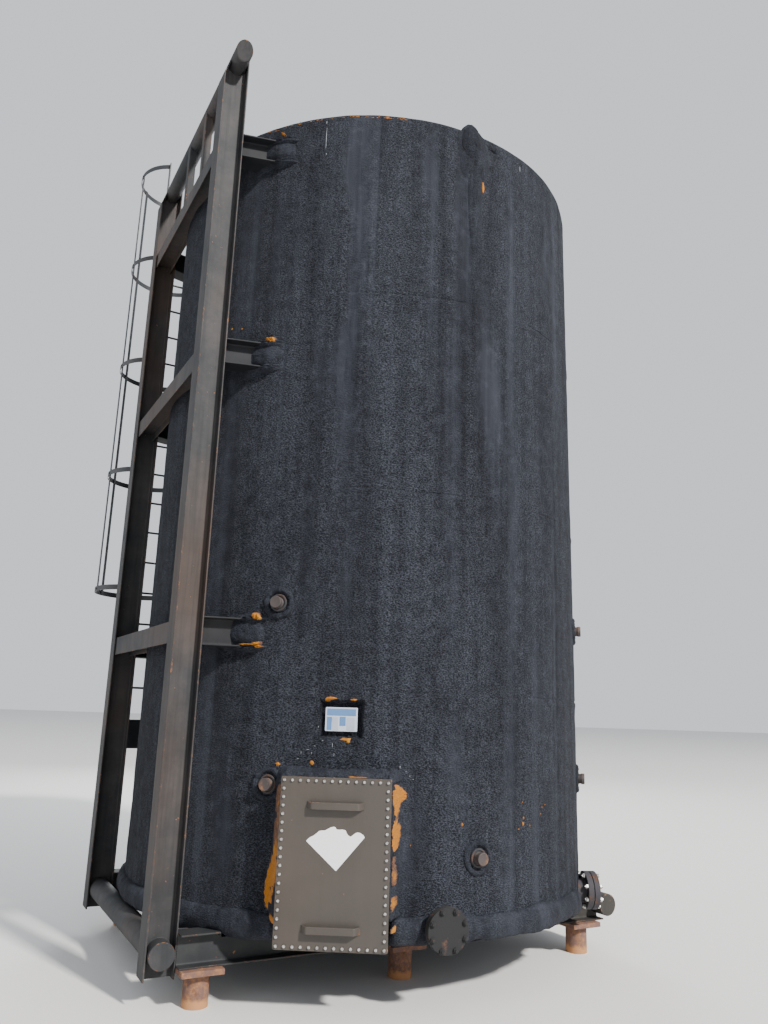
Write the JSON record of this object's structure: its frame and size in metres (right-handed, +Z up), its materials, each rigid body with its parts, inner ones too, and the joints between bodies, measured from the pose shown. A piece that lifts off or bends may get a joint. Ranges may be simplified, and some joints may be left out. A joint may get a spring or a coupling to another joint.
{
  "type": "vertical storage tank",
  "caption": "Foam-coated upright storage tank with bolted cleanout, flanged nozzles, plugged couplings, transport skid, caged ladder and pipe piles.",
  "frame": {"origin": "under the middle of the whole, on the ground", "axes": "+Z up along the tank's axis, -Y out of the cleanout cover, +X to the right as seen facing the cover"},
  "size_m": [4.9828, 4.0686, 7.718],
  "materials": {
    "foam_coat": "textured matte",
    "cleanout_paint": "worn satin",
    "nameplate": "faded print",
    "plug_steel": "rusty matte",
    "flange_steel": "rusty matte",
    "skid_paint": "worn satin",
    "pile_steel": "rusty matte",
    "ladder_paint": "worn satin"
  },
  "bodies": {
    "root": {"tank_floor": "foam_coat", "shell_course_1": "foam_coat", "shell_course_2": "foam_coat", "shell_course_3": "foam_coat", "shell_course_4": "foam_coat", "roof_deck": "foam_coat", "rim_fitting_cover": "foam_coat", "base_bead_front": "foam_coat", "base_bead_rear": "foam_coat", "cleanout_foam": "foam_coat", "cleanout_neck": "cleanout_paint", "cleanout_cover": "cleanout_paint", "cover_handle_upper": "cleanout_paint", "cover_handle_lower": "cleanout_paint", "nameplate": "nameplate", "plug_left_upper": "plug_steel", "plug_left_lower": "plug_steel", "plug_front_right": "plug_steel", "plug_right_upper": "plug_steel", "plug_right_lower": "plug_steel", "front_nozzle": "flange_steel", "front_blind_flange": "flange_steel", "side_nozzle": "flange_steel", "side_blind_flange": "flange_steel", "runner_near": "skid_paint", "runner_far": "skid_paint", "bottom_pipe": "skid_paint", "top_pipe": "skid_paint", "cross_member_1": "skid_paint", "cross_member_2": "skid_paint", "cross_member_3": "skid_paint", "bracket_near_1": "skid_paint", "bracket_near_2": "skid_paint", "bracket_near_3": "skid_paint", "bracket_far_1": "skid_paint", "bracket_far_2": "skid_paint", "bracket_far_3": "skid_paint", "sill_near": "skid_paint", "sill_far": "skid_paint", "pipe_stub_near": "skid_paint", "pipe_stub_far": "skid_paint", "pile_near_outer": "pile_steel", "pile_near_middle": "pile_steel", "pile_near_inner": "pile_steel", "pile_far_outer": "pile_steel", "pile_far_middle": "pile_steel", "pile_far_inner": "pile_steel", "ladder": "ladder_paint", "ladder_cage": "ladder_paint"}
  },
  "joints": []
}
